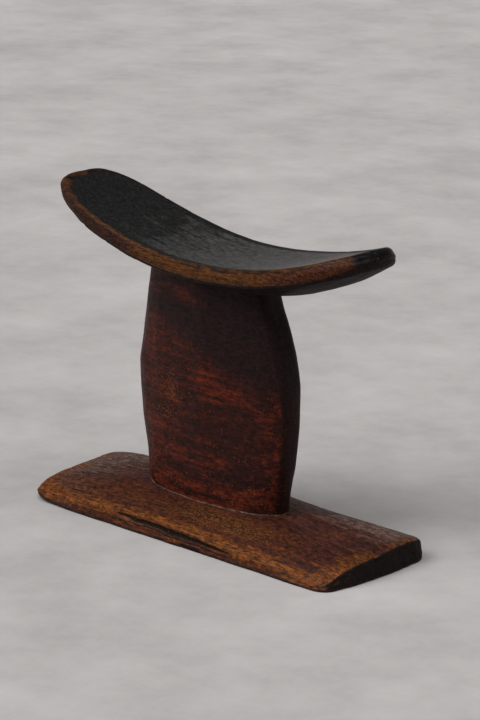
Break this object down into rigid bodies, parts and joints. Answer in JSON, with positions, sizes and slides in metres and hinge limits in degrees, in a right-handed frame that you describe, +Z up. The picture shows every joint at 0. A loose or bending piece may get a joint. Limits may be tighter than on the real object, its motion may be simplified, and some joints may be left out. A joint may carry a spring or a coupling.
{
  "type": "headrest",
  "caption": "Carved wooden headrest: a curved neck rest with rounded, upturned ends on a flat, bellied pillar that stands on a low board-shaped base.",
  "frame": {"origin": "middle of the whole object's footprint, on the floor under the base", "axes": "+Z up, +X along the length from the left end to the right end, +Y from the front face to the back"},
  "size_m": [0.2236, 0.078, 0.1685],
  "materials": {
    "base_wood": "adze-cut hardwood, worn orange-brown along its front edge and dusty grey-brown towards the back",
    "pillar_wood": "hand-smoothed dark reddish-brown hardwood, nearly black at the top and down the narrow sides",
    "neck_rest_wood": "hardwood polished by use, charcoal black on top, with an orange-brown worn edge"
  },
  "bodies": {
    "root": {"base": "base_wood", "pillar": "pillar_wood", "neck_rest": "neck_rest_wood"}
  },
  "joints": []
}
